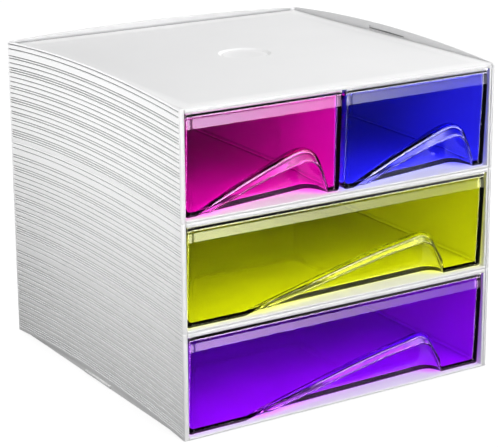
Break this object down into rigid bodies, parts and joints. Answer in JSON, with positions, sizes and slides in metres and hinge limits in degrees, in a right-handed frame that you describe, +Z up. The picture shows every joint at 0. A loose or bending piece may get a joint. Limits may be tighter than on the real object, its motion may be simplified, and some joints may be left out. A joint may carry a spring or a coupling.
{
  "type": "plastic drawer tower",
  "caption": "Desk cube of stacked white plastic casings with clear tinted sliding drawers, each with a wave-shaped finger recess under a hooded grip.",
  "frame": {"origin": "centre of the square footprint, on the surface the tower stands on", "axes": "-Y is the way the drawer fronts face and the way the drawers pull out, +X is to the right when facing the fronts, +Z is up"},
  "size_m": [0.166, 0.166, 0.151],
  "materials": {
    "bottom_casing": "satin moulded white polystyrene",
    "middle_casing": "satin moulded white polystyrene",
    "top_casing": "satin moulded white polystyrene",
    "centre_divider": "satin moulded white polystyrene",
    "magenta_drawer": "clear tinted polystyrene, polished",
    "blue_drawer": "clear tinted polystyrene, polished",
    "lime_drawer": "clear tinted polystyrene, polished",
    "purple_drawer": "clear tinted polystyrene, polished"
  },
  "bodies": {
    "casing": {"bottom_casing": "bottom_casing", "middle_casing": "middle_casing", "top_casing": "top_casing", "centre_divider": "centre_divider"},
    "magenta": {"magenta_drawer": "magenta_drawer"},
    "blue": {"blue_drawer": "blue_drawer"},
    "lime": {"lime_drawer": "lime_drawer"},
    "purple": {"purple_drawer": "purple_drawer"}
  },
  "joints": [
    {"name": "magenta_slide", "type": "slide", "parent": "casing", "child": "magenta", "axis": [0, -1, 0], "range_m": [0, 0.12]},
    {"name": "blue_slide", "type": "slide", "parent": "casing", "child": "blue", "axis": [0, -1, 0], "range_m": [0, 0.12]},
    {"name": "lime_slide", "type": "slide", "parent": "casing", "child": "lime", "axis": [0, -1, 0], "range_m": [0, 0.12]},
    {"name": "purple_slide", "type": "slide", "parent": "casing", "child": "purple", "axis": [0, -1, 0], "range_m": [0, 0.12]}
  ]
}
